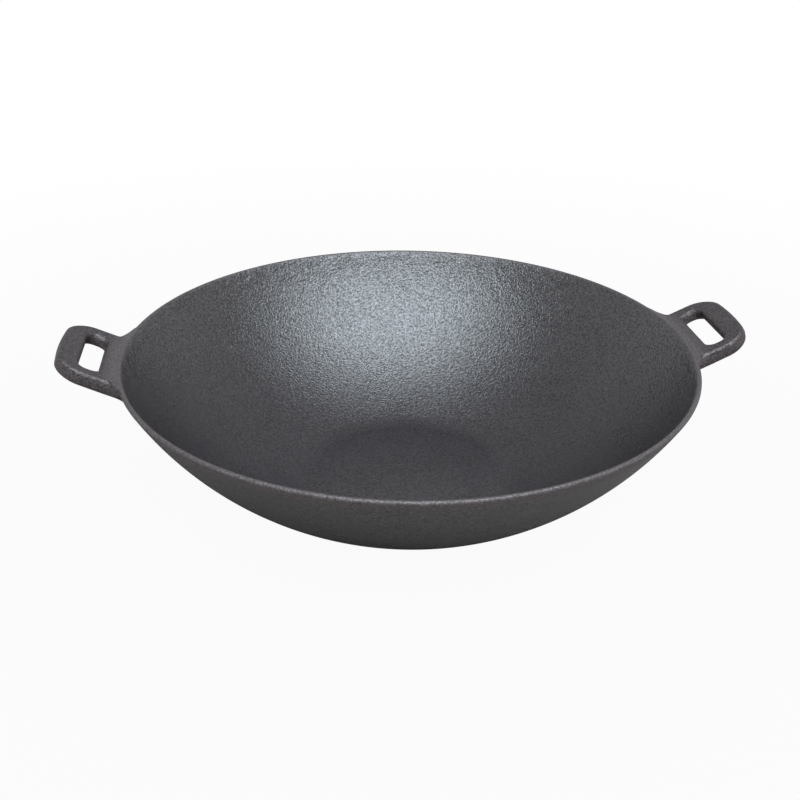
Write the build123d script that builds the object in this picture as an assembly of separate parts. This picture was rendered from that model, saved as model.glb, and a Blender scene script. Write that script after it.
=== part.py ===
from build123d import *

import os
from math import atan2, cos, degrees, radians, sin, sqrt, tan

# Kadai: a wide, round-sided pan of cast iron with a loop handle at each side.
# The real pan is one casting, poured in one piece. It is built here as its bowl,
# its foot and its two handles. The roots of the handles belong to the bowl, and each
# handle begins at a flat cut across its neck. The small roundings of the rim and the
# handles are flat bevels here.
#
# Millimetres. The origin is the centre of the foot's underside, on the surface that
# the pan stands on. +Z is up, and the X axis runs through both handles.

# Bowl
rim_diameter = 360.0         # outside
pan_height = 100.0           # top of the rim above the surface that the pan stands on
rim_width = 3.4              # the wall at its edge, measured level
rim_bevel = 1.0              # both corners of the rim are eased this much
heel_thickness = 4.5         # the wall where it comes down to the flat underside
floor_thickness = 4.5        # between the cooking floor and the flat underside
floor_blend_radius = 45.0    # where the wall's inside curves into the cooking floor

# Foot
foot_diameter = 130.0        # on the surface that the pan stands on
foot_height = 2.0
foot_ledge = 3.0             # flat underside of the bowl left bare around the foot
foot_draft = 20.0            # degrees that the foot's edge slopes, to leave the mould
foot_bevel = 0.4

# Handle, measured in its own sloping plane, outwards from the rim's outer edge
handle_rise = 25.5           # degrees that the handle climbs outwards
handle_drop = 1.5            # its top face below the top of the rim, at the rim
handle_reach = 36.0          # from the rim to the tip
handle_neck = 4.8            # from the rim to the cut where the handle leaves its root
handle_width = 66.0          # across its tip
handle_splay = 1.0           # degrees that each side spreads towards the rim
handle_thickness = 9.2
tip_bow = 2.0                # the tip's edge curves out this far between its corners
tip_corner_radius = 15.0
parting_depth = 4.6          # the ridge left by the mould's two halves, below the top face
handle_draft = 7.0           # degrees that each side slopes away from that ridge
handle_bevel = 1.6           # around the top and bottom faces and the hole's mouths

# Finger hole in the handle
hole_setback = 8.7           # from the rim to the hole
hole_length = 13.0           # outwards along the slope
hole_side = 9.5              # metal between the hole and each side of the tip
hole_corner_radius = 5.2

# How far a handle runs into the bowl before it is trimmed there
overrun = 20.0

# Places that follow from the sizes above. A point of the bowl's section is written as
# its distance from the Z axis and its height.
rim_radius = rim_diameter / 2
foot_radius = foot_diameter / 2
cooking_floor_height = foot_height + floor_thickness


def axis_centre(low, high):
    """Centre, on the Z axis, of the arc through two points of the section."""
    return Vector(0, (high.dot(high) - low.dot(low)) / (2 * (high.Y - low.Y)))


def arc(start, centre, end):
    """Shorter arc from start to end."""
    middle = (start - centre).normalized() + (end - centre).normalized()
    return ThreePointArc(start, centre + middle.normalized() * (start - centre).length, end)


# Both sides of the wall are parts of spheres, each through a point at the rim and a
# point at the heel, so that the wall thickens steadily towards its base.
rim_outer = Vector(rim_radius, pan_height - rim_bevel)
rim_inner = Vector(rim_radius - rim_width, pan_height - rim_bevel)
rim_top_outer = Vector(rim_radius - rim_bevel, pan_height)
rim_top_inner = Vector(rim_radius - rim_width + rim_bevel, pan_height)
heel_outer = Vector(foot_radius + foot_ledge, foot_height)
outer_centre = axis_centre(heel_outer, rim_outer)
heel_inner = heel_outer + (outer_centre - heel_outer).normalized() * heel_thickness
inner_centre = axis_centre(heel_inner, rim_inner)

# The floor's blend touches the wall's inside and the cooking floor.
blend_height = cooking_floor_height + floor_blend_radius
inner_to_blend = (rim_inner - inner_centre).length - floor_blend_radius
floor_radius = sqrt(inner_to_blend**2 - (inner_centre.Y - blend_height) ** 2)
blend_centre = Vector(floor_radius, blend_height)
blend_top = blend_centre + (blend_centre - inner_centre).normalized() * floor_blend_radius
floor_edge = Vector(floor_radius, cooking_floor_height)
floor_middle = Vector(0, cooking_floor_height)
underside_middle = Vector(0, foot_height)
rim_middle = Vector(0, pan_height)


def make_bowl():
    """Wall, eased rim, cooking floor and flat underside, turned about the Z axis."""
    with BuildPart() as bowl:
        with BuildSketch(Plane.YZ):
            with BuildLine():
                Line(underside_middle, heel_outer)
                arc(heel_outer, outer_centre, rim_outer)
                Polyline(rim_outer, rim_top_outer, rim_top_inner, rim_inner)
                arc(rim_inner, inner_centre, blend_top)
                arc(blend_top, blend_centre, floor_edge)
                Polyline(floor_edge, floor_middle, underside_middle)
            make_face()
        revolve(axis=Axis.Z)
    return bowl.part


def make_bowl_space():
    """All that the bowl takes up, wall and hollow together, up to the top of its rim."""
    with BuildPart() as space:
        with BuildSketch(Plane.YZ):
            with BuildLine():
                Line(underside_middle, heel_outer)
                arc(heel_outer, outer_centre, rim_outer)
                Polyline(rim_outer, rim_top_outer, rim_middle, underside_middle)
            make_face()
        revolve(axis=Axis.Z)
    return space.part


def make_foot():
    """Low round pad that the pan stands on, its edge sloped and eased."""
    with BuildPart() as foot:
        with BuildSketch(Plane.XY.offset(foot_height)):
            Circle(foot_radius + foot_height * tan(radians(foot_draft)))
        extrude(amount=-foot_height, taper=foot_draft)
        chamfer(foot.edges().group_by(Axis.Z)[0], foot_bevel)
    return foot.part


# The handle's top face: X runs outwards up the slope, Y across, Z out of the face.
outwards = Vector(cos(radians(handle_rise)), 0, sin(radians(handle_rise)))
rim_edge = Vector(rim_radius, 0, pan_height - handle_drop)
top_face = Plane(origin=rim_edge, x_dir=outwards, z_dir=outwards.rotate(Axis.Y, -90))
parting = top_face.offset(-parting_depth)

# The cut across the neck: X runs across, Y up, from the middle of its thickness.
neck_middle = top_face.from_local_coords(Vector(handle_neck, 0, -handle_thickness / 2))
neck = Plane(origin=neck_middle, x_dir=(0, 1, 0), z_dir=outwards)

# The root flares so that its top comes down to the outer corner of the rim's top.
neck_top = rim_edge + outwards * handle_neck
fall = atan2(neck_top.Z - pan_height, neck_top.X - (rim_radius - rim_bevel))
root_flare = overrun * tan(radians(handle_rise) - fall)


def both_ways(outline, draft):
    """Extrude from the ridge up to the top face and down to the bottom face."""
    upper = extrude(outline, parting_depth, taper=draft)
    lower = extrude(outline, parting_depth - handle_thickness, taper=draft)
    return upper + lower


def make_handle():
    """The right-hand handle from its neck outwards: a drafted loop with eased edges."""
    corner = Vector(handle_reach - tip_bow, handle_width / 2)
    root = corner + Vector(-1, tan(radians(handle_splay))) * corner.X
    with BuildSketch(parting) as outline:
        with BuildLine():
            ThreePointArc((corner.X, -corner.Y), (handle_reach, 0), corner)
            Polyline(corner, root, (root.X, -root.Y), (corner.X, -corner.Y))
        make_face()
        fillet(outline.vertices().group_by(Axis.X)[-1], tip_corner_radius)
    with BuildSketch(parting) as hole:
        with Locations((hole_setback + hole_length / 2, 0)):
            RectangleRounded(hole_length, handle_width - 2 * hole_side, hole_corner_radius)
    plate = both_ways(outline.sketch, handle_draft) - both_ways(hole.sketch, -handle_draft)

    def along(edge):
        return top_face.to_local_coords(edge.center()).X

    def depth(face):
        return top_face.to_local_coords(face.center()).Z

    flats = plate.faces().sort_by(depth)
    around = (flats[0].edges() + flats[-1].edges()).sort_by(along)
    eased = chamfer(around[2:], handle_bevel)
    return split(eased, bisect_by=neck, keep=Keep.TOP)


def make_root(handle):
    """Where the handle grows out of the wall: its neck's section, growing as it runs in."""
    cut = handle.faces().sort_by(Axis((0, 0, 0), outwards))[0]
    corners = [neck.to_local_coords(edge @ 0) for edge in cut.outer_wire().order_edges()]
    wider = 1 + root_flare / (handle_width / 2)
    thicker = 1 + root_flare / (handle_thickness / 2)
    inner = [Vector(corner.X * wider, corner.Y * thicker, -overrun) for corner in corners]
    rings = []
    for ring in (corners, inner):
        rings.append(Polyline(*[neck.from_local_coords(corner) for corner in ring], close=True).wire())
    return Solid.make_loft(rings, ruled=True) - make_bowl_space()


handle_right = make_handle()
root_right = make_root(handle_right)
bowl = make_bowl() + [root_right, mirror(root_right, about=Plane.YZ)]

nodes = {
    "bowl": bowl,
    "foot": make_foot(),
    "handle_right": handle_right,
    "handle_left": mirror(handle_right, about=Plane.YZ),
}

os.makedirs("parts", exist_ok=True)
for name, solid in nodes.items():
    export_step(solid, f"parts/{name}.step")
    print(name, "valid" if solid.is_valid else "not valid", round(solid.volume), "cubic mm")
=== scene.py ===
from math import cos, pi, radians, sin, sqrt, tan

import bmesh
import bpy
from mathutils import Matrix, Vector


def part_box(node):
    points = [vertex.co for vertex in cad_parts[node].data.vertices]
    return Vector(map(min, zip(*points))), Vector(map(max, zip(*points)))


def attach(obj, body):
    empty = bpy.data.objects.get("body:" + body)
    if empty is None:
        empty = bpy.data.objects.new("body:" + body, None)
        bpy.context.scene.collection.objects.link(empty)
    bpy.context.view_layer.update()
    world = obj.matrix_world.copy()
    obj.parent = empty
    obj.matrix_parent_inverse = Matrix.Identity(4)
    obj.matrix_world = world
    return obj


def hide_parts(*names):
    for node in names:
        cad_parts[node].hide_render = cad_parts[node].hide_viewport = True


bl_info = {
    "name": "Cast-iron kadai",
    "version": (1, 0, 0),
    "blender": (4, 5, 0),
    "location": "View3D > Sidebar > Kadai",
    "description": "Builds a wide cast-iron kadai with two loop handles around its packed frame",
    "category": "Add Mesh",
}

# A kadai is one casting: a round-sided bowl on a low foot, with a drafted loop handle at
# each side. It is modelled whole and then parted at each handle's neck, where the frame
# parts it too. Lengths are metres, and the X axis runs through both handles.
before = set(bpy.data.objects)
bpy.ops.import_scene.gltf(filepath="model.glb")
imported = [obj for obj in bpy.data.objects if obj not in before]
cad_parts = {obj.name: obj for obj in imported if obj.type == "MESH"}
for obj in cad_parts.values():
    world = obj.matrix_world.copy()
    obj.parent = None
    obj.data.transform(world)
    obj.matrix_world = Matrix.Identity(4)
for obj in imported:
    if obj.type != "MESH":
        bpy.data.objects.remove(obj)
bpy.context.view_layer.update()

mm = 0.001
body = "root"
iron_name = "seasoned_cast_iron"
bowl_low, bowl_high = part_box("bowl")
foot_low, foot_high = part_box("foot")


class KadaiSizes(bpy.types.PropertyGroup):
    """Sizes of the casting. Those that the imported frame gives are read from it."""
    rim_diameter: bpy.props.FloatProperty(
        name="Rim diameter", description="Outside, over the rounded edge",
        default=bowl_high.y - bowl_low.y, unit="LENGTH")
    pan_height: bpy.props.FloatProperty(
        name="Pan height", description="Top of the rim above the surface it stands on",
        default=100 * mm, unit="LENGTH")
    rim_thickness: bpy.props.FloatProperty(
        name="Rim thickness", description="The wall at its fully rounded edge",
        default=3 * mm, unit="LENGTH")
    rim_lean: bpy.props.FloatProperty(
        name="Rim lean", description="How far the wall leans outwards at the rim",
        default=radians(27.75), subtype="ANGLE")
    heel_thickness: bpy.props.FloatProperty(
        name="Heel thickness", description="The wall where it meets the flat underside",
        default=4.5 * mm, unit="LENGTH")
    heel_radius: bpy.props.FloatProperty(
        name="Heel radius", description="Where the wall's outside meets the flat underside",
        default=68 * mm, unit="LENGTH")
    floor_thickness: bpy.props.FloatProperty(
        name="Floor thickness", description="Between cooking floor and underside",
        default=4.5 * mm, unit="LENGTH")
    floor_blend: bpy.props.FloatProperty(
        name="Floor blend", description="Radius where the wall curves into the floor",
        default=45 * mm, unit="LENGTH")
    foot_height: bpy.props.FloatProperty(
        name="Foot height", description="Height of the pad that the pan stands on",
        default=foot_high.z - foot_low.z, unit="LENGTH")
    foot_radius: bpy.props.FloatProperty(
        name="Foot radius", description="The pad's widest radius, where it meets the bowl",
        default=foot_high.x, unit="LENGTH")
    foot_draft: bpy.props.FloatProperty(
        name="Foot draft", description="Slope of the pad's edge",
        default=radians(20), subtype="ANGLE")
    foot_edge: bpy.props.FloatProperty(
        name="Foot edge", description="Rounding of the pad's lower edge",
        default=0.5 * mm, unit="LENGTH")
    handle_rise: bpy.props.FloatProperty(
        name="Handle rise", description="How steeply a handle climbs outwards",
        default=radians(25.5), subtype="ANGLE")
    handle_drop: bpy.props.FloatProperty(
        name="Handle drop", description="The handle's top face below the rim's top",
        default=1.1 * mm, unit="LENGTH")
    handle_reach: bpy.props.FloatProperty(
        name="Handle reach", description="From the rim to the tip, up the slope",
        default=35.3 * mm, unit="LENGTH")
    handle_neck: bpy.props.FloatProperty(
        name="Handle neck", description="From the rim to the cut between root and handle",
        default=4.8 * mm, unit="LENGTH")
    tip_width: bpy.props.FloatProperty(
        name="Tip width", description="Across the handle's tip",
        default=66 * mm, unit="LENGTH")
    root_width: bpy.props.FloatProperty(
        name="Root width", description="Across the handle at the rim",
        default=67.2 * mm, unit="LENGTH")
    handle_thickness: bpy.props.FloatProperty(
        name="Handle thickness", description="Between its top and bottom faces",
        default=9.2 * mm, unit="LENGTH")
    tip_bow: bpy.props.FloatProperty(
        name="Tip bow", description="How far the tip's edge curves out",
        default=3.0 * mm, unit="LENGTH")
    tip_corner: bpy.props.FloatProperty(
        name="Tip corner", description="Radius of the tip's corners",
        default=15 * mm, unit="LENGTH")
    parting_depth: bpy.props.FloatProperty(
        name="Parting depth", description="The mould's parting line below the top face",
        default=4.6 * mm, unit="LENGTH")
    handle_draft: bpy.props.FloatProperty(
        name="Handle draft", description="Slope of the sides away from the parting line",
        default=radians(7), subtype="ANGLE")
    edge_radius: bpy.props.FloatProperty(
        name="Edge radius", description="Rounding around the handle's outside",
        default=2.1 * mm, unit="LENGTH")
    mouth_radius: bpy.props.FloatProperty(
        name="Mouth radius", description="Rounding around the finger hole's mouths",
        default=3.5 * mm, unit="LENGTH")
    hole_setback: bpy.props.FloatProperty(
        name="Hole setback", description="From the rim to the finger hole",
        default=8.7 * mm, unit="LENGTH")
    hole_length: bpy.props.FloatProperty(
        name="Hole length", description="Outwards, up the slope",
        default=12.2 * mm, unit="LENGTH")
    hole_width: bpy.props.FloatProperty(
        name="Hole width", description="Across the finger hole",
        default=46 * mm, unit="LENGTH")
    hole_corner: bpy.props.FloatProperty(
        name="Hole corner", description="Radius of the finger hole's corners",
        default=5.2 * mm, unit="LENGTH")
    root_length: bpy.props.FloatProperty(
        name="Root length", description="From the rim to the end of the root's curve",
        default=4.6 * mm, unit="LENGTH")
    root_spread: bpy.props.FloatProperty(
        name="Root spread", description="Half the angle of the rim that a root takes up",
        default=pi / 12, subtype="ANGLE")
    root_foot: bpy.props.FloatProperty(
        name="Root foot", description="Height where a root runs out on the wall",
        default=80 * mm, unit="LENGTH")


class KadaiFinish(bpy.types.PropertyGroup):
    """Colours, grain and shine of the iron."""
    iron: bpy.props.StringProperty(
        name="Iron", description="Seasoned iron, as an sRGB hex value", default="#252025")
    iron_worn: bpy.props.StringProperty(
        name="Worn iron", description="Where the seasoning is thin", default="#373235")
    # A lighter colour painted on at the handles' roots: a painted highlight that stands in for the
    # light the roots' curved band catches
    root_highlight: bpy.props.StringProperty(
        name="Root highlight", description="At the handles' roots, a painted highlight",
        default="#4e484a")
    highlight_full: bpy.props.FloatProperty(
        name="Highlight full", description="How far out from the rim the painted highlight is whole",
        default=2 * mm, unit="LENGTH")
    highlight_end: bpy.props.FloatProperty(
        name="Highlight end", description="How far out from the rim the painted highlight has faded away",
        default=9 * mm, unit="LENGTH")
    patch: bpy.props.FloatProperty(
        name="Patch", description="Width of the patches where the seasoning is thin",
        default=40 * mm, unit="LENGTH")
    refraction: bpy.props.FloatProperty(
        name="Refraction", description="Index that sets how strongly the iron mirrors",
        default=2.2)
    oiled_roughness: bpy.props.FloatProperty(
        name="Oiled roughness", description="Of the bowl where the seasoning is thick",
        default=0.22, subtype="FACTOR", min=0, max=1)
    worn_roughness: bpy.props.FloatProperty(
        name="Worn roughness", description="Of the bowl where the seasoning is thin",
        default=0.34, subtype="FACTOR", min=0, max=1)
    grain: bpy.props.FloatProperty(
        name="Grain", description="Width of the cast skin's pebbles",
        default=1.45 * mm, unit="LENGTH")
    grain_depth: bpy.props.FloatProperty(
        name="Grain depth", description="How far the pebbles stand out",
        default=0.45 * mm, unit="LENGTH")
    pit_share: bpy.props.FloatProperty(
        name="Pit share", description="Value of the pebbles' noise below which it is a pit",
        default=0.37, subtype="FACTOR", min=0, max=1)
    pebble_share: bpy.props.FloatProperty(
        name="Pebble share", description="Value of the pebbles' noise above which it is a top",
        default=0.63, subtype="FACTOR", min=0, max=1)
    pit_shine: bpy.props.FloatProperty(
        name="Pit shine", description="Shine in the pits between the pebbles",
        default=0.23, subtype="FACTOR", min=0, max=1)
    pebble_shine: bpy.props.FloatProperty(
        name="Pebble shine", description="Shine on the tops of the pebbles",
        default=0.62, subtype="FACTOR", min=0, max=1)
    bare_sheen: bpy.props.StringProperty(
        name="Bare sheen", description="Tint of the shine on the rim and the handles",
        default="#f4e8e6")
    bare_roughness: bpy.props.FloatProperty(
        name="Bare roughness", description="Of the rim and the handles, where oil is wiped off",
        default=0.5, subtype="FACTOR", min=0, max=1)
    bare_start: bpy.props.FloatProperty(
        name="Bare start", description="How far inside the rim's outer edge the bare iron begins",
        default=3.5 * mm, unit="LENGTH")
    bare_full: bpy.props.FloatProperty(
        name="Bare full", description="How far inside the rim's outer edge it is wholly bare",
        default=2 * mm, unit="LENGTH")
    wrinkle: bpy.props.FloatProperty(
        name="Wrinkle", description="Width of the ripples that run under the rim",
        default=11 * mm, unit="LENGTH")
    wrinkle_depth: bpy.props.FloatProperty(
        name="Wrinkle depth", description="How far those ripples stand out",
        default=0.7 * mm, unit="LENGTH")
    wrinkle_band: bpy.props.FloatProperty(
        name="Wrinkle band", description="How far below the rim the ripples have faded out",
        default=35 * mm, unit="LENGTH")


class KadaiStudio(bpy.types.PropertyGroup):
    """Camera, softbox, table and surroundings."""
    camera_azimuth: bpy.props.FloatProperty(
        name="Camera azimuth", description="Round the pan, from in front of it",
        default=radians(8.15), subtype="ANGLE")
    camera_elevation: bpy.props.FloatProperty(
        name="Camera elevation", description="Above level, seen from the rim's middle",
        default=radians(24.65), subtype="ANGLE")
    camera_roll: bpy.props.FloatProperty(
        name="Camera roll", description="Tilt of the camera about its view",
        default=radians(1.05), subtype="ANGLE")
    camera_distance: bpy.props.FloatProperty(
        name="Camera distance", description="From the rim's middle",
        default=651.5 * mm, unit="LENGTH")
    focal_length: bpy.props.FloatProperty(
        name="Focal length", description="In millimetres, on a sensor 36 mm wide",
        default=46.26, unit="CAMERA")
    softbox: bpy.props.FloatProperty(
        name="Softbox", description="Radiance of the large softbox overhead", default=3.9)
    softbox_tint: bpy.props.StringProperty(
        name="Softbox tint", description="Daylight, a little cool", default="#e9f6ff")
    softbox_azimuth: bpy.props.FloatProperty(
        name="Softbox azimuth", description="Round the pan, from in front of it",
        default=radians(-7), subtype="ANGLE")
    softbox_elevation: bpy.props.FloatProperty(
        name="Softbox elevation", description="Above level, seen from the pan's middle",
        default=radians(65), subtype="ANGLE")
    softbox_distance: bpy.props.FloatProperty(
        name="Softbox distance", description="From the pan's middle",
        default=2.0, unit="LENGTH")
    softbox_width: bpy.props.FloatProperty(
        name="Softbox width", description="Across the round softbox",
        default=3.15, unit="LENGTH")
    softbox_height: bpy.props.FloatProperty(
        name="Softbox height", description="Of the round softbox, square to its width",
        default=2.0, unit="LENGTH")
    table: bpy.props.StringProperty(
        name="Table", description="The matt table, as an sRGB hex value", default="#aaa29e")
    table_width: bpy.props.FloatProperty(
        name="Table width", description="Of the square table, which runs past the view",
        default=12.0, unit="LENGTH")
    floor_glow: bpy.props.FloatProperty(
        name="Floor glow", description="Share of plain white in the table as it is seen",
        default=0.95, subtype="FACTOR", min=0, max=1)
    shade_radius: bpy.props.FloatProperty(
        name="Shade radius", description="Round the pan, where the table's white starts to grow",
        default=250 * mm, unit="LENGTH")
    white_radius: bpy.props.FloatProperty(
        name="White radius", description="Round the pan, where the table's white is whole",
        default=900 * mm, unit="LENGTH")
    surround: bpy.props.FloatProperty(
        name="Surround", description="Brightness of the studio round the pan",
        default=0.1, subtype="FACTOR", min=0, max=1)
    mirrored: bpy.props.FloatProperty(
        name="Mirrored", description="Share of plain white in the studio as iron mirrors it",
        default=0.6, subtype="FACTOR", min=0, max=1)
    ceiling: bpy.props.FloatProperty(
        name="Ceiling", description="The same share, towards the ceiling",
        default=0.24, subtype="FACTOR", min=0, max=1)
    ceiling_start: bpy.props.FloatProperty(
        name="Ceiling start", description="Height on a unit sphere where the walls grow dimmer",
        default=0.25, subtype="FACTOR", min=0, max=1)
    ceiling_end: bpy.props.FloatProperty(
        name="Ceiling end", description="Height on a unit sphere where the ceiling begins",
        default=0.6, subtype="FACTOR", min=0, max=1)


# Places in the photograph's frame, in pixels
frame_width = 800
rim_middle_in_frame = Vector((409.0, 345.4))
sensor_width = 36.0       # millimetres

# How finely the pieces are meshed
columns = 18              # faces across a handle's root
round_steps = 4           # faces in a quarter of an edge's rounding
side_rows = 2 * round_steps + 2
rim_steps = 8             # faces over the rim
crest_steps = 4           # of these, from the wall's outside up to where a root begins
underside_rows = 8        # rows of faces from the middle of the underside to the heel
outer_rows = 36           # from there to the foot of the roots
inner_rows = 40           # down the wall's inside to the floor's blend
blend_rows = 10
floor_rows = 14
tip_steps = 5             # faces in half of the handle's bowed tip
corner_steps = 12         # faces in a rounded corner of the handle or its hole
sweep_rows = 8            # cuts across a root's curve
foot_columns = 180
foot_underside_rows = 8
foot_edge_rows = 6
foot_side_rows = 2
foot_top_rows = 4
plate_inside = 20 * mm    # how far inside the rim the handle's plate starts, to be cut there
corner_gap = 1 * mm       # straight edge left between the tip's bow and its corners
edge_band = 0.4 * mm      # narrow faces that keep a flat face flat beside its rounding
weld = 0.01 * mm          # points nearer to each other than this are one
touch = 0.001 * mm        # points nearer to a plane than this lie in it


def direction(angle):
    """Unit vector in the X-Z plane, at this angle above level."""
    return Vector((cos(angle), 0, sin(angle)))


def sections(sizes):
    """The bowl's section in the X-Z plane: the points and centres of its arcs."""
    lean = sizes.rim_lean
    radius = sizes.rim_thickness / 2
    rim = Vector((sizes.rim_diameter / 2 - radius, 0, sizes.pan_height - radius))
    shape = {"rim": rim, "round": radius}
    shape["rim_outer"] = rim + direction(-lean) * radius
    shape["rim_inner"] = rim - direction(-lean) * radius
    shape["heel_outer"] = Vector((sizes.heel_radius, 0, sizes.foot_height))
    shape["outer_centre"] = wall_centre(shape["heel_outer"], shape["rim_outer"], lean)
    inwards = (shape["outer_centre"] - shape["heel_outer"]).normalized()
    shape["heel_inner"] = shape["heel_outer"] + inwards * sizes.heel_thickness
    shape["inner_centre"] = wall_centre(shape["heel_inner"], shape["rim_inner"], lean)
    floor = sizes.foot_height + sizes.floor_thickness
    blend = sizes.floor_blend
    centre = shape["inner_centre"]
    reach = (shape["rim_inner"] - centre).length - blend
    floor_radius = centre.x + sqrt(reach**2 - (centre.z - floor - blend) ** 2)
    shape["blend_centre"] = Vector((floor_radius, 0, floor + blend))
    shape["blend_top"] = shape["blend_centre"] + (shape["blend_centre"] - centre).normalized() * blend
    shape["floor_edge"] = Vector((floor_radius, 0, floor))
    shape["floor_middle"] = Vector((0, 0, floor))
    return shape


def wall_centre(heel, edge, lean):
    """Centre of the arc that rises from heel and reaches edge at the wall's lean."""
    climb = pi / 2 - lean
    chord = edge - heel
    half_sweep = climb - Vector((1, 0)).angle_signed(Vector((chord.x, -chord.z)))
    return edge + direction(climb + pi / 2) * chord.length / (2 * sin(half_sweep))


def run(bm, vertex, end, steps):
    """A straight run of edges from the vertex to end."""
    start = vertex.co.copy()
    for step in range(1, steps + 1):
        vertex = bmesh.ops.extrude_vert_indiv(bm, verts=[vertex])["verts"][0]
        vertex.co = start.lerp(end, step / steps)
    return vertex


def turn(bm, vertex, centre, end, steps):
    """An arc of edges from the vertex to end, about centre."""
    start = vertex.co - centre
    angle = start.angle(end - centre)
    if start.cross(end - centre).y < 0:
        angle = -angle
    made = bmesh.ops.spin(
        bm, geom=[vertex], cent=centre, axis=(0, 1, 0), angle=angle, steps=steps)
    return next(part for part in made["geom_last"] if isinstance(part, bmesh.types.BMVert))


def spin_whole(bm, steps):
    """Spin the section all round the Z axis into a closed mesh."""
    bmesh.ops.spin(
        bm, geom=bm.verts[:] + bm.edges[:], cent=(0, 0, 0), axis=(0, 0, 1),
        angle=2 * pi, steps=steps, use_merge=True)
    bmesh.ops.remove_doubles(bm, verts=bm.verts, dist=weld)


def spin_bowl(bm, sizes, shape):
    """Spin the section into the closed bowl, with rows that suit the handles' roots."""
    wall_rows = side_rows - crest_steps
    outer = shape["outer_centre"]
    wall_radius = (shape["rim_outer"] - outer).length
    drop = outer.z - sizes.root_foot
    root_foot = Vector((outer.x + sqrt(wall_radius**2 - drop**2), 0, sizes.root_foot))
    vertex = bm.verts.new((0, 0, sizes.foot_height))
    vertex = run(bm, vertex, shape["heel_outer"], underside_rows)
    vertex = turn(bm, vertex, outer, root_foot, outer_rows)
    vertex = turn(bm, vertex, outer, shape["rim_outer"], wall_rows)
    step = pi / rim_steps
    for angle in range(1, rim_steps + 1):
        end = shape["rim"] + direction(angle * step - sizes.rim_lean) * shape["round"]
        vertex = turn(bm, vertex, shape["rim"], end, 1)
    vertex = turn(bm, vertex, shape["inner_centre"], shape["blend_top"], inner_rows)
    vertex = turn(bm, vertex, shape["blend_centre"], shape["floor_edge"], blend_rows)
    run(bm, vertex, shape["floor_middle"], floor_rows)
    spin_whole(bm, round(columns * pi / sizes.root_spread))


def open_roots(bm, sizes, shape):
    """Take out the faces of the wall's outside where the handles' roots begin."""
    crest = crest_steps * pi / rim_steps - sizes.rim_lean
    wall_radius = (shape["rim_outer"] - shape["outer_centre"]).length

    def in_root(face):
        middle = face.calc_center_median()
        if abs(middle.y) > abs(middle.x) * tan(sizes.root_spread):
            return False
        point = Vector((Vector((middle.x, middle.y)).length, 0, middle.z))
        if point.z > shape["rim_outer"].z:
            side = point - shape["rim"]
            return side.dot(direction(crest + pi / 2)) < 0 and side.x > 0
        # Faces of the wall's inside are a whole thickness away, so a quarter tells them apart
        off_wall = wall_radius - (point - shape["outer_centre"]).length
        return point.z > sizes.root_foot and off_wall < sizes.rim_thickness / 4

    bmesh.ops.delete(bm, geom=[f for f in bm.faces if in_root(f)], context="FACES")


def draft_steps(depth, draft, radius):
    """Insets that climb a drafted side and then round its edge: (inwards, up) pairs."""
    straight = depth - radius * (1 - sin(draft))
    steps = [(straight * tan(draft), straight)]
    sweep = (pi / 2 - draft) / round_steps
    for index in range(round_steps):
        low = draft + index * sweep
        high = low + sweep
        steps.append((radius * (cos(low) - cos(high)), radius * (sin(high) - sin(low))))
    return steps


def loop_of(bm, height):
    """The edges that lie at this height."""
    return [e for e in bm.edges if all(abs(v.co.z - height) < touch for v in e.verts)]


def side_walls(corners, rounded, radius, start, steps, up):
    """Walls that rise or sink from an outline by insets, as a mesh open at both ends."""
    bm = bmesh.new()
    vertices = [bm.verts.new((*corner, start)) for corner in corners]
    face = bm.faces.new(vertices)
    face.normal_update()
    if face.normal.z * up < 0:
        bmesh.ops.reverse_faces(bm, faces=[face])
    bmesh.ops.bevel(
        bm, geom=[vertices[i] for i in rounded], offset=radius, offset_type="OFFSET",
        affect="VERTICES", segments=corner_steps, profile=0.5, material=-1)
    cap = bm.faces[:]
    for inwards, climb in steps:
        bmesh.ops.inset_region(
            bm, faces=cap, use_boundary=True, use_even_offset=True,
            thickness=inwards, depth=climb)
    bmesh.ops.delete(bm, geom=cap, context="FACES_ONLY")
    mesh = bpy.data.meshes.new("walls")
    bm.to_mesh(mesh)
    bm.free()
    return mesh


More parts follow.
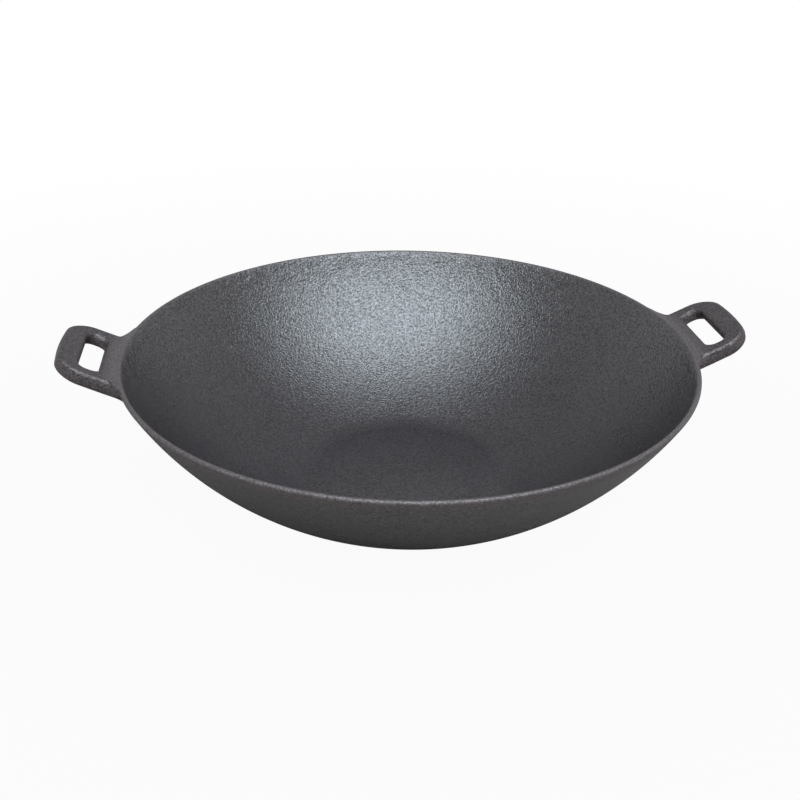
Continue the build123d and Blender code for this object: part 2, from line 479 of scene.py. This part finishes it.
def handle_plate(bm, sizes):
    """The right handle's plate in its own plane: X outwards, Y across, Z off its top."""
    faces = ((0.0, 1), (-sizes.handle_thickness, -1))
    parting = -sizes.parting_depth
    tip = sizes.handle_reach - sizes.tip_bow
    inner = -plate_inside
    spread = (sizes.root_width - sizes.tip_width) / 2 / tip
    half_tip = sizes.tip_width / 2
    half_inner = half_tip + (tip - inner) * spread
    even = (half_tip - sizes.tip_corner - corner_gap) / tip_steps
    tip_edge = [(tip, step * even) for step in range(-tip_steps, tip_steps + 1)]
    outline = [
        (inner, -half_inner), (tip, -half_tip), *tip_edge, (tip, half_tip), (inner, half_inner)]
    corners = (1, len(outline) - 2)
    draft = sizes.handle_draft

    parts = []
    for height, sign in faces:
        steps = draft_steps(abs(height - parting), draft, sizes.edge_radius)
        parts.append(side_walls(outline, corners, sizes.tip_corner, parting, steps, sign))
        steps = draft_steps(abs(height - parting), draft, sizes.mouth_radius)
        wider = sum(inwards for inwards, climb in steps)
        low_x = sizes.hole_setback - wider
        high_x = sizes.hole_setback + sizes.hole_length + wider
        half = sizes.hole_width / 2 + wider
        mouth = [(low_x, -half), (high_x, -half), (high_x, half), (low_x, half)]
        down = [(inwards, -climb) for inwards, climb in reversed(steps)]
        parts.append(
            side_walls(mouth, (0, 1, 2, 3), sizes.hole_corner + wider, height, down, sign))
    for mesh in parts:
        bm.from_mesh(mesh)
        bpy.data.meshes.remove(mesh)
    bmesh.ops.remove_doubles(bm, verts=bm.verts, dist=weld)
    for height, sign in faces:
        rims = [e for e in loop_of(bm, height) if e.is_boundary]
        made = bmesh.ops.triangle_fill(bm, edges=rims, use_beauty=True, normal=(0, 0, sign))
        flat = [part for part in made["geom"] if isinstance(part, bmesh.types.BMFace)]
        bmesh.ops.inset_region(
            bm, faces=flat, use_boundary=True, use_even_offset=True, thickness=edge_band)
    bow_tip(bm, sizes, tip, half_tip)
    bmesh.ops.bisect_plane(
        bm, geom=bm.verts[:] + bm.edges[:] + bm.faces[:], dist=touch,
        plane_co=(sizes.root_length, 0, 0), plane_no=(1, 0, 0), clear_inner=True)
    even_ends(bm, sizes)


def bow_tip(bm, sizes, tip, half_tip):
    """Curve the tip's edge outwards, less and less towards the finger hole."""
    hole_end = sizes.hole_setback + sizes.hole_length
    for vertex in bm.verts:
        share = (vertex.co.x - hole_end) / (tip - hole_end)
        if share > 0:
            across = min(abs(vertex.co.y) / half_tip, 1)
            vertex.co.x += sizes.tip_bow * (1 - across**2) * min(share, 1)


def even_ends(bm, sizes):
    """Divide the flats of the plate's cut end evenly, to match the root's columns."""
    for height in (0.0, -sizes.handle_thickness):
        end = [v for v in bm.verts if v.is_boundary and abs(v.co.z - height) < touch]
        end.sort(key=lambda v: v.co.y)
        # At each side, the band along the edge keeps its two points
        bmesh.ops.dissolve_verts(bm, verts=end[2:-2])
        between = [e for e in bm.edges if e.is_boundary and set(e.verts) == {end[1], end[-2]}]
        bmesh.ops.subdivide_edges(bm, edges=between, cuts=columns - 3)


def right_plane(sizes):
    """Matrix from the right handle's own plane to the pan's frame."""
    edge = Vector((sizes.rim_diameter / 2, 0, sizes.pan_height - sizes.handle_drop))
    return Matrix.Translation(edge) @ Matrix.Rotation(-sizes.handle_rise, 4, "Y")


def cast_whole(sizes):
    """Bowl, roots and handles as one closed mesh."""
    shape = sections(sizes)
    bm = bmesh.new()
    spin_bowl(bm, sizes, shape)
    open_roots(bm, sizes, shape)
    plate = bmesh.new()
    handle_plate(plate, sizes)
    bmesh.ops.transform(plate, matrix=right_plane(sizes), verts=plate.verts)
    mesh = bpy.data.meshes.new("plate")
    plate.to_mesh(mesh)
    bm.from_mesh(mesh)
    bmesh.ops.mirror(
        plate, geom=plate.verts[:] + plate.edges[:] + plate.faces[:],
        matrix=Matrix.Identity(4), merge_dist=-1, axis="X")
    right = [f for f in plate.faces if f.calc_center_median().x > 0]
    bmesh.ops.delete(plate, geom=right, context="FACES")
    plate.to_mesh(mesh)
    bm.from_mesh(mesh)
    bpy.data.meshes.remove(mesh)
    plate.free()
    for sign in (1, -1):
        ends = [e for e in bm.edges if e.is_boundary and e.verts[0].co.x * sign > 0]
        made = bmesh.ops.bridge_loops(bm, edges=ends)
        across = [e for e in made["edges"] if e.is_valid]
        bmesh.ops.subdivide_edgering(
            bm, edges=across, interp_mode="SURFACE", smooth=1.0, cuts=sweep_rows)
    bmesh.ops.recalc_face_normals(bm, faces=bm.faces)
    smooth_all(bm)
    return bm


def make_object(name, bm, material):
    """Turn the mesh into an object of one material, in the scene."""
    mesh = bpy.data.meshes.new(name)
    bm.to_mesh(mesh)
    bm.free()
    mesh.materials.append(material)
    made = bpy.data.objects.new(name, mesh)
    bpy.context.scene.collection.objects.link(made)
    return made


def add_piece(name, bm, node):
    """Turn the mesh into a piece of iron that stands for a node and rides on the pan's body."""
    piece = make_object(name, bm, iron_of(bpy.context.scene))
    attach(piece, body)
    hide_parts(node)


def part_at_neck(bm, sizes, sign, keep_handle):
    """Cut at one handle's neck, keep one side, and close it with a crisp-edged flat face."""
    plane = right_plane(sizes)
    origin = plane @ Vector((sizes.handle_neck, 0, 0))
    normal = plane.to_3x3() @ Vector((1, 0, 0))
    origin.x *= sign
    normal.x *= sign
    bmesh.ops.bisect_plane(
        bm, geom=bm.verts[:] + bm.edges[:] + bm.faces[:], dist=touch,
        plane_co=origin, plane_no=normal, clear_inner=keep_handle, clear_outer=not keep_handle)
    made = bmesh.ops.holes_fill(bm, edges=[e for e in bm.edges if e.is_boundary])
    for face in made["faces"]:
        for edge in face.edges:
            edge.smooth = False


def smooth_all(bm):
    """Shade every face smooth."""
    for face in bm.faces:
        face.smooth = True


def linear(hex_value):
    """Linear colour, with alpha, of an sRGB hex value."""
    channels = [int(hex_value[i:i + 2], 16) / 255 for i in (1, 3, 5)]
    return tuple(
        c / 12.92 if c <= 0.04045 else ((c + 0.055) / 1.055) ** 2.4 for c in channels) + (1,)


def add_node(tree, kind, settings=None, **links):
    """Add a node, set its attributes and sockets, and link its inputs to other sockets."""
    node = tree.nodes.new(kind)
    for key, value in (settings or {}).items():
        if key in node.inputs:
            node.inputs[key].default_value = value
        else:
            setattr(node, key, value)
    for key, socket in links.items():
        tree.links.new(socket, node.inputs[key.replace("_", " ")])
    return node


def empty_tree(owner):
    """The node tree of a material or world, with nothing in it yet."""
    owner.use_nodes = True
    owner.node_tree.nodes.clear()
    return owner.node_tree


def mix(tree, kind, share, first, second):
    """Value or colour that goes from first to second as share goes from 0 to 1."""
    inputs, output = {"FLOAT": ((2, 3), 0), "RGBA": ((6, 7), 2)}[kind]
    mixed = add_node(tree, "ShaderNodeMix", {"data_type": kind}, Factor=share)
    for index, part in zip(inputs, (first, second)):
        if isinstance(part, bpy.types.NodeSocket):
            tree.links.new(part, mixed.inputs[index])
        else:
            mixed.inputs[index].default_value = part
    return mixed.outputs[output]


def combine(tree, operation, first, second):
    """One value made of two by a Math node."""
    node = add_node(tree, "ShaderNodeMath", {"operation": operation})
    tree.links.new(first, node.inputs[0])
    tree.links.new(second, node.inputs[1])
    return node.outputs["Value"]


def length(tree, vector):
    """Length of a vector."""
    return add_node(
        tree, "ShaderNodeVectorMath", {"operation": "LENGTH"}, Vector=vector).outputs["Value"]


def ramp(tree, value, start, end, low=0.0, high=1.0):
    """Value mapped so that start becomes low and end becomes high, and no further."""
    settings = {"From Min": start, "From Max": end, "To Min": low, "To Max": high}
    return add_node(tree, "ShaderNodeMapRange", settings, Value=value).outputs["Result"]


def seasoned_cast_iron(finish, sizes):
    """Sand-cast grey iron under baked-on oil: near black, satin, with a pebbled skin."""
    material = bpy.data.materials.new(iron_name)
    tree = empty_tree(material)
    place = add_node(tree, "ShaderNodeTexCoord").outputs["Object"]
    along = add_node(tree, "ShaderNodeSeparateXYZ", Vector=place).outputs
    level = add_node(tree, "ShaderNodeCombineXYZ", X=along["X"], Y=along["Y"])
    out = length(tree, level.outputs["Vector"])
    rim_radius = sizes.rim_diameter / 2

    # The sand's print: pebbles all over, and slow ripples where the iron met the rim
    pebbles = add_node(
        tree, "ShaderNodeTexNoise", {"Scale": 1 / finish.grain, "Detail": 2.0, "Roughness": 0.6},
        Vector=place).outputs["Fac"]
    ripples = add_node(
        tree, "ShaderNodeTexNoise", {"Scale": 1 / finish.wrinkle, "Detail": 1.0, "Distortion": 1.0},
        Vector=place).outputs["Fac"]
    band_low = sizes.pan_height - finish.wrinkle_band
    rippled = add_node(
        tree, "ShaderNodeBump", {"Distance": finish.wrinkle_depth},
        Height=ripples, Strength=ramp(tree, along["Z"], band_low, sizes.pan_height))
    pebbled = add_node(
        tree, "ShaderNodeBump", {"Distance": finish.grain_depth},
        Height=pebbles, Normal=rippled.outputs["Normal"])

    # The seasoning is thin in patches. The rim and the handles are bare, because they are wiped and
    # held.
    # At the handles' roots the colour is painted lighter: a painted highlight for the light the
    # roots' curved band catches.
    patches = add_node(
        tree, "ShaderNodeTexNoise", {"Scale": 1 / finish.patch, "Detail": 3.0, "Roughness": 0.6},
        Vector=place).outputs["Fac"]
    seasoned = mix(tree, "RGBA", patches, linear(finish.iron), linear(finish.iron_worn))
    bare = ramp(tree, out, rim_radius - finish.bare_start, rim_radius - finish.bare_full)
    # Band just outside the rim where the painted highlight at the roots is laid on
    highlight_band = ramp(tree, out, rim_radius + finish.highlight_end, rim_radius + finish.highlight_full)
    root = combine(tree, "MULTIPLY", bare, highlight_band)
    colour = mix(tree, "RGBA", root, seasoned, linear(finish.root_highlight))

    # Bare iron is duller than oiled iron. The pits between the pebbles hold less oil than
    # their tops, so they shine less.
    oiled = ramp(tree, patches, 0.0, 1.0, finish.oiled_roughness, finish.worn_roughness)
    shine = ramp(
        tree, pebbles, finish.pit_share, finish.pebble_share, finish.pit_shine, finish.pebble_shine)
    shader = add_node(
        tree, "ShaderNodeBsdfPrincipled", {"IOR": finish.refraction},
        Base_Color=colour,
        Normal=pebbled.outputs["Normal"],
        Roughness=mix(tree, "FLOAT", bare, oiled, finish.bare_roughness),
        Specular_IOR_Level=shine,
        Specular_Tint=mix(tree, "RGBA", bare, linear("#ffffff"), linear(finish.bare_sheen)))
    add_node(tree, "ShaderNodeOutputMaterial", Surface=shader.outputs["BSDF"])
    return material


def iron_of(scene):
    """The material that all the pieces share, made when the first of them asks for it."""
    made = bpy.data.materials.get(iron_name)
    return made or seasoned_cast_iron(scene.kadai_finish, scene.kadai_sizes)


def seen_directly(tree, ray):
    """1 for what the camera sees, straight or through something clear."""
    return combine(tree, "MAXIMUM", ray["Is Camera Ray"], ray["Is Transmission Ray"])


def pale_floor(studio):
    """A pale matt table that is seen as white, with a faint shadow of the pan left on it."""
    material = bpy.data.materials.new("pale_matt_table")
    tree = empty_tree(material)
    matt = add_node(tree, "ShaderNodeBsdfDiffuse", {"Color": linear(studio.table)})
    white = add_node(tree, "ShaderNodeEmission", {"Strength": 1.0})
    away = length(tree, add_node(tree, "ShaderNodeTexCoord").outputs["Object"])
    near, far = studio.shade_radius, studio.white_radius

    # Seen directly, the table is nearly white under the pan and white beyond it. What the
    # iron mirrors is the same table, greyer, with the whole of the shadow under the pan.
    ray = add_node(tree, "ShaderNodeLightPath").outputs
    glow = ramp(tree, away, near, far, studio.floor_glow, 1.0)
    seen = combine(tree, "MULTIPLY", seen_directly(tree, ray), glow)
    greyer = ramp(tree, away, near, far, 0.0, studio.mirrored)
    mirrored = combine(tree, "MULTIPLY", ray["Is Glossy Ray"], greyer)
    share = combine(tree, "MAXIMUM", seen, mirrored)
    mixed = add_node(tree, "ShaderNodeMixShader", Fac=share)
    tree.links.new(matt.outputs["BSDF"], mixed.inputs[1])
    tree.links.new(white.outputs["Emission"], mixed.inputs[2])
    add_node(tree, "ShaderNodeOutputMaterial", Surface=mixed.outputs["Shader"])
    return material


def light_world(studio):
    """A studio that is seen as white, and that iron mirrors greyer, most so its ceiling."""
    world = bpy.data.worlds.new("studio")
    bpy.context.scene.world = world
    tree = empty_tree(world)
    ray = add_node(tree, "ShaderNodeLightPath").outputs
    way = add_node(tree, "ShaderNodeTexCoord").outputs["Generated"]
    climb = add_node(tree, "ShaderNodeSeparateXYZ", Vector=way).outputs["Z"]
    walls = ramp(
        tree, climb, studio.ceiling_start, studio.ceiling_end, studio.mirrored, studio.ceiling)
    mirrored = combine(tree, "MULTIPLY", ray["Is Glossy Ray"], walls)
    white = combine(tree, "MAXIMUM", seen_directly(tree, ray), mirrored)
    background = add_node(
        tree, "ShaderNodeBackground", {"Color": (1, 1, 1, 1)},
        Strength=ramp(tree, white, 0.0, 1.0, studio.surround, 1.0))
    add_node(tree, "ShaderNodeOutputWorld", Surface=background.outputs["Background"])


def add_camera(studio, sizes):
    """Place the camera so that the rim's middle falls where the photograph shows it."""
    data = bpy.data.cameras.new("camera")
    data.lens = studio.focal_length
    data.sensor_width = sensor_width
    camera = bpy.data.objects.new("camera", data)
    bpy.context.scene.collection.objects.link(camera)
    bpy.context.scene.camera = camera
    rim_middle = Vector((0, 0, sizes.pan_height))
    tilt = studio.camera_elevation
    back = Vector((0, -cos(tilt), sin(tilt)))
    right = Vector((1, 0, 0))
    up = back.cross(right)
    roll = studio.camera_roll
    across = right * cos(roll) + up * sin(roll)
    upwards = up * cos(roll) - right * sin(roll)
    pixels = studio.focal_length / sensor_width * frame_width
    off = (rim_middle_in_frame - Vector((frame_width / 2, frame_width / 2))) / pixels
    forward = (-back - across * off.x + upwards * off.y).normalized()
    across = (across - forward * across.dot(forward)).normalized()
    upwards = across.cross(forward)
    turned = Matrix.Rotation(-studio.camera_azimuth, 3, "Z")
    axes = turned @ Matrix((across, upwards, -forward)).transposed()
    place = rim_middle + turned @ back * studio.camera_distance
    camera.matrix_world = Matrix.Translation(place) @ axes.to_4x4()


def add_softbox(studio, aim):
    """One large round softbox overhead, aimed at a point."""
    data = bpy.data.lights.new("softbox", "AREA")
    data.shape = "ELLIPSE"
    data.size = studio.softbox_width
    data.size_y = studio.softbox_height
    area = pi / 4 * studio.softbox_width * studio.softbox_height
    data.energy = studio.softbox * pi * area
    data.color = linear(studio.softbox_tint)[:3]
    lamp = bpy.data.objects.new("softbox", data)
    bpy.context.scene.collection.objects.link(lamp)
    azimuth = studio.softbox_azimuth
    level = cos(studio.softbox_elevation)
    back = Vector((-sin(azimuth) * level, -cos(azimuth) * level, sin(studio.softbox_elevation)))
    lamp.location = aim + back * studio.softbox_distance
    lamp.rotation_mode = "QUATERNION"
    lamp.rotation_quaternion = back.to_track_quat("Z", "Y")


class KADAI_OT_bowl(bpy.types.Operator):
    """Model the bowl with the roots of its handles, parted from them at their necks"""
    bl_idname = "kadai.bowl"
    bl_label = "Bowl"

    def execute(self, context):
        sizes = context.scene.kadai_sizes
        bowl = cast_whole(sizes)
        for sign in (1, -1):
            part_at_neck(bowl, sizes, sign, keep_handle=False)
        add_piece("bowl_body", bowl, "bowl")
        return {"FINISHED"}


class KADAI_OT_handles(bpy.types.Operator):
    """Model the two loop handles, parted from the bowl at their necks"""
    bl_idname = "kadai.handles"
    bl_label = "Handles"

    def execute(self, context):
        sizes = context.scene.kadai_sizes
        for side, sign in (("right", 1), ("left", -1)):
            handle = cast_whole(sizes)
            part_at_neck(handle, sizes, sign, keep_handle=True)
            add_piece(f"handle_{side}_loop", handle, f"handle_{side}")
        return {"FINISHED"}


class KADAI_OT_foot(bpy.types.Operator):
    """Model the low pad that the pan stands on"""
    bl_idname = "kadai.foot"
    bl_label = "Foot"

    def execute(self, context):
        sizes = context.scene.kadai_sizes
        height = sizes.foot_height
        radius = sizes.foot_edge
        draft = sizes.foot_draft
        bottom = sizes.foot_radius - height * tan(draft)
        inset = radius * tan((pi / 2 - draft) / 2)
        centre = Vector((bottom - inset, 0, radius))
        side = centre + direction(-draft) * radius
        bm = bmesh.new()
        vertex = bm.verts.new((0, 0, 0))
        vertex = run(bm, vertex, Vector((bottom - inset, 0, 0)), foot_underside_rows)
        vertex = turn(bm, vertex, centre, side, foot_edge_rows)
        vertex = run(bm, vertex, Vector((sizes.foot_radius, 0, height)), foot_side_rows)
        run(bm, vertex, Vector((0, 0, height)), foot_top_rows)
        spin_whole(bm, foot_columns)
        bmesh.ops.recalc_face_normals(bm, faces=bm.faces)
        smooth_all(bm)
        add_piece("foot_pad", bm, "foot")
        return {"FINISHED"}


class KADAI_OT_stage(bpy.types.Operator):
    """Set up the table, the softbox, the studio round them and the camera"""
    bl_idname = "kadai.stage"
    bl_label = "Stage"

    def execute(self, context):
        scene = context.scene
        studio = scene.kadai_studio
        bm = bmesh.new()
        bmesh.ops.create_grid(bm, x_segments=1, y_segments=1, size=studio.table_width / 2)
        make_object("table", bm, pale_floor(studio))
        light_world(studio)
        add_camera(studio, scene.kadai_sizes)
        add_softbox(studio, Vector((0, 0, scene.kadai_sizes.pan_height / 2)))
        scene.view_settings.view_transform = "Standard"
        return {"FINISHED"}


class KADAI_PT_panel(bpy.types.Panel):
    """Buttons that build the pieces and the stage, with all the settings below them"""
    bl_label = "Kadai"
    bl_idname = "KADAI_PT_panel"
    bl_space_type = "VIEW_3D"
    bl_region_type = "UI"
    bl_category = "Kadai"

    def draw(self, context):
        for operator in operators:
            self.layout.operator(operator.bl_idname)
        for group in groups:
            settings = getattr(context.scene, group)
            for key in groups[group].__annotations__:
                self.layout.prop(settings, key)


operators = (KADAI_OT_bowl, KADAI_OT_handles, KADAI_OT_foot, KADAI_OT_stage)
groups = {"kadai_sizes": KadaiSizes, "kadai_finish": KadaiFinish, "kadai_studio": KadaiStudio}


def register():
    """Register the classes, and give the scene its groups of settings."""
    for kind in (*groups.values(), *operators, KADAI_PT_panel):
        bpy.utils.register_class(kind)
    for name, kind in groups.items():
        setattr(bpy.types.Scene, name, bpy.props.PointerProperty(type=kind))


def unregister():
    """Undo register."""
    for name in groups:
        delattr(bpy.types.Scene, name)
    for kind in (KADAI_PT_panel, *reversed(operators), *reversed(tuple(groups.values()))):
        bpy.utils.unregister_class(kind)


def main():
    """Build the pieces and the stage."""
    register()
    bpy.ops.kadai.bowl()
    bpy.ops.kadai.handles()
    bpy.ops.kadai.foot()
    bpy.ops.kadai.stage()


if __name__ == "__main__":
    main()
